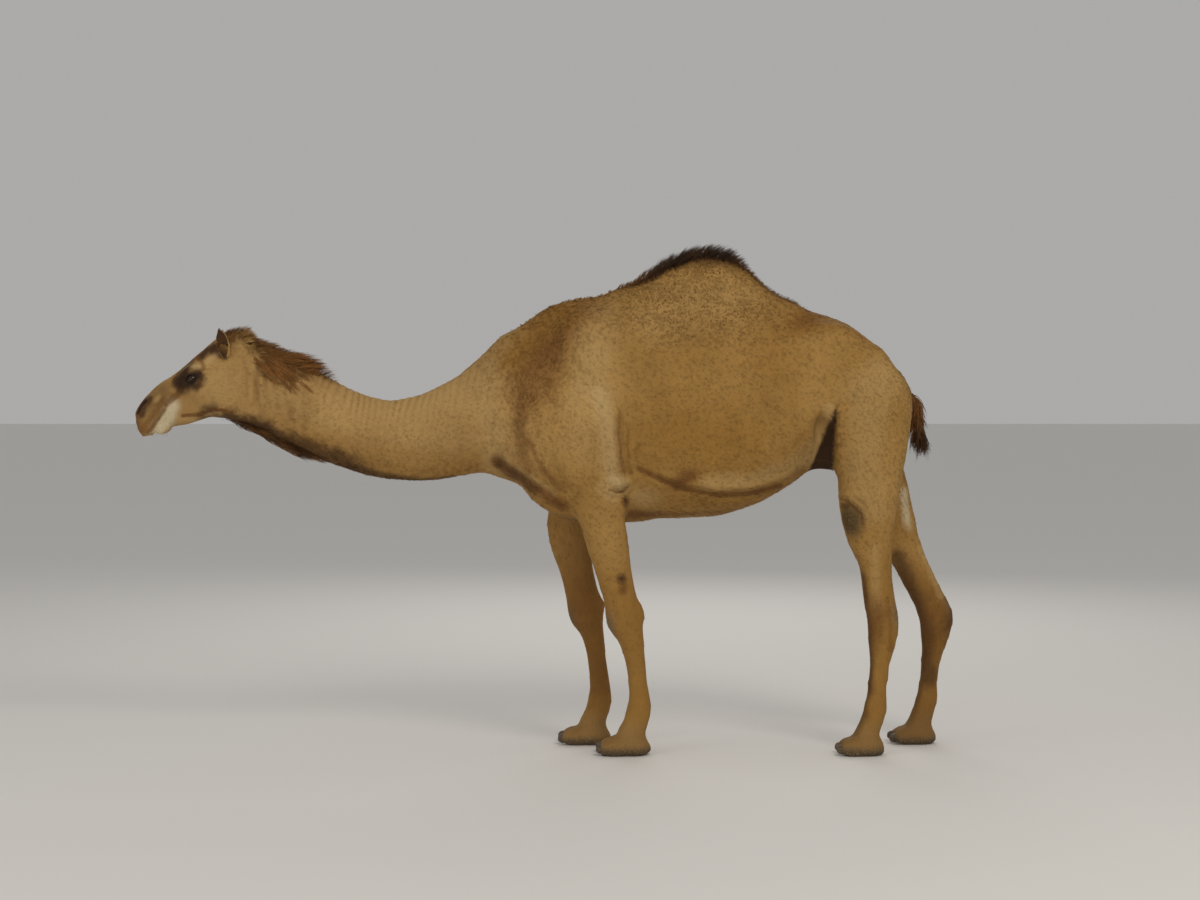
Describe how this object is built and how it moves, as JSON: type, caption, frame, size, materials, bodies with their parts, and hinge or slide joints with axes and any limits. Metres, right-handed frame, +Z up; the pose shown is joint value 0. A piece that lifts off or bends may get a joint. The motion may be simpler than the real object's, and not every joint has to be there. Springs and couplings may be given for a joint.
{
  "type": "dromedary camel, life-size still model",
  "caption": "Life-size still model of a standing dromedary camel, its neck reached forward and low, its one hump with a dark crest of hair.",
  "frame": {"origin": "on the floor, under the middle of the animal's overall length and width", "axes": "+Z up; -X is the way the animal faces, so +X runs from its nose to its tail; -Y is the animal's left side"},
  "size_m": [3.3044, 0.6291, 2.0436],
  "materials": {
    "coat": "short golden-tan hair over hide, matt",
    "dark_hair": "long dark brown hair, matt",
    "toenail": "worn dark horn",
    "eye": "wet, very dark brown eyeball"
  },
  "bodies": {
    "root": {"belly": "coat", "chest": "coat", "ear_left": "coat", "ear_right": "coat", "eye_left": "eye", "eye_right": "eye", "fore_foot_left": "coat", "fore_foot_left_nail_inner": "toenail", "fore_foot_left_nail_outer": "toenail", "fore_foot_right": "coat", "fore_foot_right_nail_inner": "toenail", "fore_foot_right_nail_outer": "toenail", "fore_lower_leg_left": "coat", "fore_lower_leg_right": "coat", "fore_upper_leg_left": "coat", "fore_upper_leg_right": "coat", "head": "coat", "hind_foot_left": "coat", "hind_foot_left_nail_inner": "toenail", "hind_foot_left_nail_outer": "toenail", "hind_foot_right": "coat", "hind_foot_right_nail_inner": "toenail", "hind_foot_right_nail_outer": "toenail", "hind_lower_leg_left": "coat", "hind_lower_leg_right": "coat", "hind_upper_leg_left": "coat", "hind_upper_leg_right": "coat", "hump": "coat", "hump_crest": "dark_hair", "nape_mane": "dark_hair", "neck_lower": "coat", "neck_upper": "coat", "rump": "coat", "tail": "coat", "tail_tuft": "dark_hair", "thigh_left": "coat", "thigh_right": "coat", "throat_fringe": "dark_hair"}
  },
  "joints": []
}
